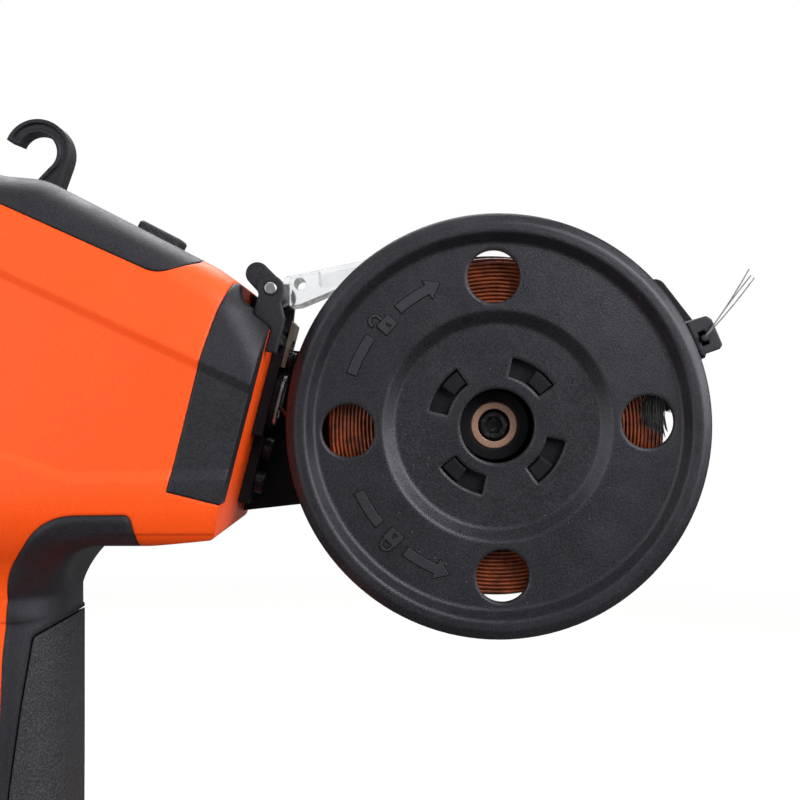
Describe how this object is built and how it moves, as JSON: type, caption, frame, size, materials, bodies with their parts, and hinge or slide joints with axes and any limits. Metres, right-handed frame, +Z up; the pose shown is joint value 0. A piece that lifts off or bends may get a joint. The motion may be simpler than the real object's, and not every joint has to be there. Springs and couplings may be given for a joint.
{
  "type": "electric vine tying tool",
  "caption": "Cordless vine tying tool: pistol-grip housing with an open claw at the nose and a side spool of tie wire behind a twist-lock disc.",
  "frame": {"origin": "centre of the battery's flat base, on which the tool stands", "axes": "+Z up, -X towards the nose, +X towards the spool, -Y the side of the retaining disc"},
  "size_m": [0.343, 0.068, 0.3109],
  "materials": {
    "orange_plastic": "fine spark texture, warm orange",
    "black_plastic": "fine texture, charcoal black",
    "soft_rubber": "grained soft rubber",
    "red_plastic": "smooth red thumb latch",
    "clear_plastic": "clear moulding",
    "bright_steel": "polished steel",
    "hard_steel": "ground hardened steel",
    "black_screw": "black oxide",
    "sintered_bronze": "oil-filled bronze",
    "brown_wire": "brown coated tie wire",
    "black_bristle": "nylon bristle",
    "grey_filament": "loose nylon filament",
    "motor_can": "plated motor can",
    "grey_moulding": "glass-filled moulding",
    "spring_steel": "drawn spring wire",
    "board_green": "circuit board with parts",
    "cell_sleeve": "sleeved cells",
    "terminal_plastic": "terminal block with blades"
  },
  "bodies": {
    "housing": {"arm_screws": "black_screw", "axle_nut": "black_screw", "battery_case": "black_plastic", "battery_cells": "cell_sleeve", "battery_lid": "black_plastic", "brush_bristles": "black_bristle", "brush_filaments": "grey_filament", "brush_holder": "black_plastic", "claw_pin": "bright_steel", "control_board": "board_green", "cutter": "hard_steel", "feed_frame": "grey_moulding", "feed_motor": "motor_can", "gearbox": "motor_can", "grip_overmould": "black_plastic", "grip_pad": "soft_rubber", "guide_plate": "bright_steel", "guide_tube": "hard_steel", "hanging_hook": "black_plastic", "housing_screws": "black_screw", "inlet_bush": "black_plastic", "inlet_eyelet": "bright_steel", "latch_spring": "spring_steel", "left_corner_panel": "black_plastic", "left_shell": "orange_plastic", "lever_bracket": "black_plastic", "lever_pin": "bright_steel", "lower_jaw": "hard_steel", "main_motor": "motor_can", "nose_housing": "black_plastic", "right_corner_panel": "black_plastic", "right_shell": "orange_plastic", "spindle_bearings": "hard_steel", "spool_arm": "black_plastic", "spool_axle": "bright_steel", "terminal_block": "terminal_plastic", "tie_wire": "brown_wire", "top_cover": "black_plastic", "trigger_spring": "spring_steel", "trigger_switch": "grey_moulding"},
    "claw": {"claw": "hard_steel"},
    "rack": {"claw_rack": "hard_steel"},
    "twister": {"twister_spindle": "hard_steel", "twister_head": "bright_steel"},
    "spool": {"spool_hub": "black_plastic", "spool_bush": "sintered_bronze", "wire_core": "brown_wire", "wire_winding": "brown_wire"},
    "disc": {"locking_disc": "black_plastic"},
    "lever": {"tension_arm": "clear_plastic", "thumb_tab": "black_plastic"},
    "button": {"press_button": "soft_rubber"},
    "trigger": {"trigger": "black_plastic"},
    "feed_wheel": {"feed_roller": "hard_steel", "feed_gear": "hard_steel"},
    "pinion": {"feed_pinion": "hard_steel"},
    "idler_carrier": {"idler_arm": "grey_moulding"},
    "idler": {"idler_roller": "hard_steel"},
    "latch": {"battery_latch": "red_plastic"}
  },
  "joints": [
    {"name": "spool_spin", "type": "hinge", "parent": "housing", "child": "spool", "pos_m": [0.1225, 0, 0.185], "axis": [0, 1, 0], "continuous": true},
    {"name": "disc_lock", "type": "hinge", "parent": "spool", "child": "disc", "pos_m": [0.1225, 0, 0.185], "axis": [0, 1, 0], "range_deg": [0, 20]},
    {"name": "lever_swing", "type": "hinge", "parent": "housing", "child": "lever", "pos_m": [0.0697, 0, 0.2167], "axis": [0, -1, 0], "range_deg": [0, 25]},
    {"name": "trigger_pull", "type": "slide", "parent": "housing", "child": "trigger", "axis": [1, 0, 0], "range_m": [0, 0.005], "stiffness_N_per_m": 900, "springref_m": -0.003, "deforming": ["trigger_spring"]},
    {"name": "button_press", "type": "slide", "parent": "housing", "child": "button", "axis": [-0.4571, 0, -0.8894], "range_m": [0, 0.0012], "stiffness_N_per_m": 1500, "springref_m": -0.0005},
    {"name": "claw_swing", "type": "hinge", "parent": "housing", "child": "claw", "pos_m": [-0.10467, 0, 0.26646], "axis": [0, -1, 0], "range_deg": [0, 55]},
    {"name": "rack_slide", "type": "slide", "parent": "housing", "child": "rack", "axis": [0.9659, 0, -0.2588], "range_m": [0, 0.00616]},
    {"name": "twister_spin", "type": "hinge", "parent": "housing", "child": "twister", "pos_m": [-0.06, 0, 0.24], "axis": [-0.9659, 0, 0.2588], "continuous": true},
    {"name": "feed_spin", "type": "hinge", "parent": "housing", "child": "feed_wheel", "pos_m": [0.04397, 0, 0.18884], "axis": [0, 1, 0], "continuous": true},
    {"name": "pinion_spin", "type": "hinge", "parent": "housing", "child": "pinion", "pos_m": [0.03487, 0, 0.17308], "axis": [0, 1, 0], "continuous": true},
    {"name": "idler_lift", "type": "hinge", "parent": "housing", "child": "idler_carrier", "pos_m": [0.03584, 0, 0.20872], "axis": [0, -1, 0], "range_deg": [0, 4], "stiffness_Nm_per_rad": 0.6, "springref_deg": -5.73},
    {"name": "idler_spin", "type": "hinge", "parent": "idler_carrier", "child": "idler", "pos_m": [0.04762, 0, 0.20246], "axis": [0, 1, 0], "continuous": true},
    {"name": "latch_press", "type": "slide", "parent": "housing", "child": "latch", "axis": [0, 0, -1], "range_m": [0, 0.0028], "stiffness_N_per_m": 900, "springref_m": -0.002, "deforming": ["latch_spring"]}
  ],
  "couplings": [
    {"joint": "rack_slide", "follows": "claw_swing", "m_per_rad": 0.0064},
    {"joint": "pinion_spin", "follows": "feed_spin", "ratio": -3},
    {"joint": "idler_spin", "follows": "feed_spin", "ratio": -1.2909}
  ]
}
